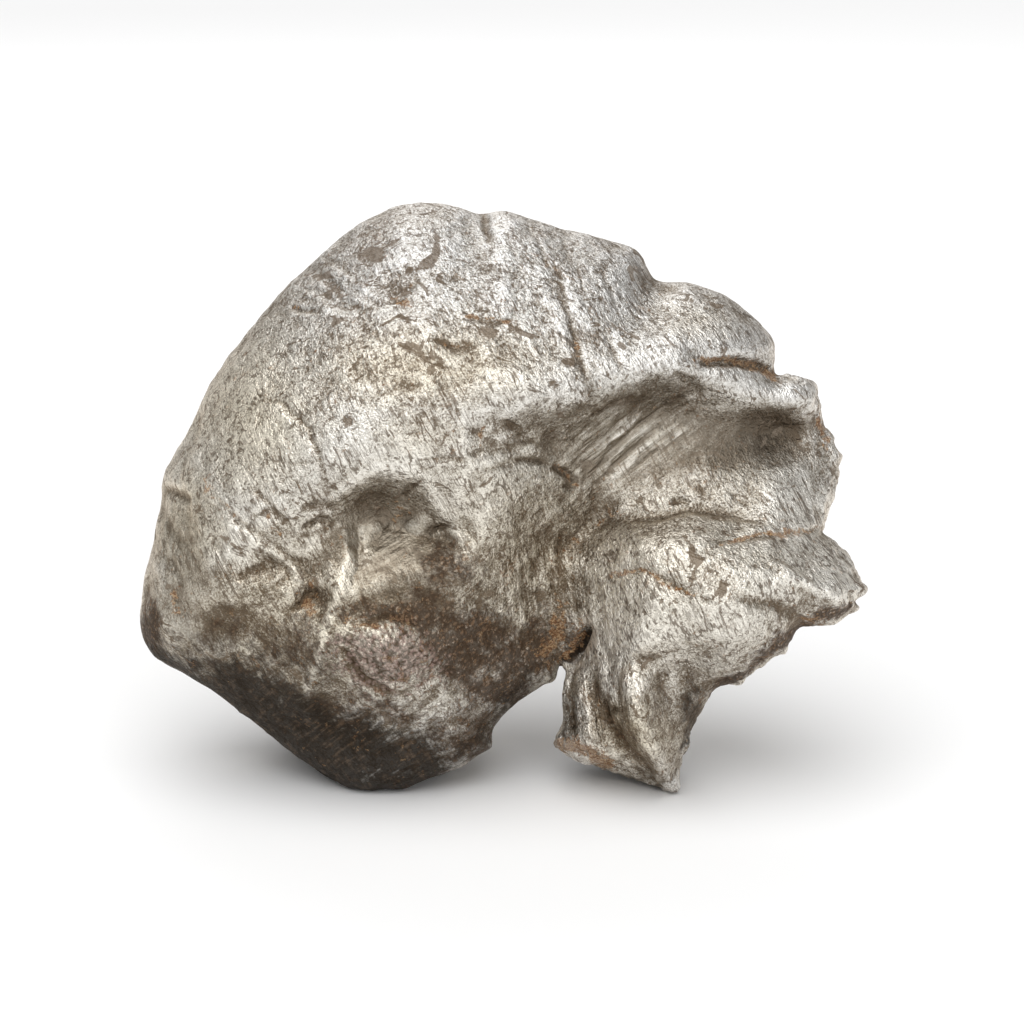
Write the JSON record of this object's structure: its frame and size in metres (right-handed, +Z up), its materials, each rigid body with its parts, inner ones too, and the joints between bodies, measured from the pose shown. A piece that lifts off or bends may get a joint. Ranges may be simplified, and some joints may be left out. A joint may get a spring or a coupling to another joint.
{
  "type": "meteorite",
  "caption": "Torn iron meteorite fragment with a smooth domed face, a swept trough, thumbprint hollows, a jagged flared wing and a spur; stands on its foot, heel and spur tip as a display piece.",
  "frame": {"origin": "on the floor, at the middle of the bounding box's footprint", "axes": "+X to the right along the longest side as seen by someone facing the domed front, +Y from the domed front to the back, +Z up"},
  "size_m": [0.0806, 0.0382, 0.063],
  "materials": {
    "iron": "wire-brushed nickel-iron with brown oxide in the hollows and orange rust in the cracks"
  },
  "bodies": {
    "root": {"meteorite": "iron"}
  },
  "joints": []
}
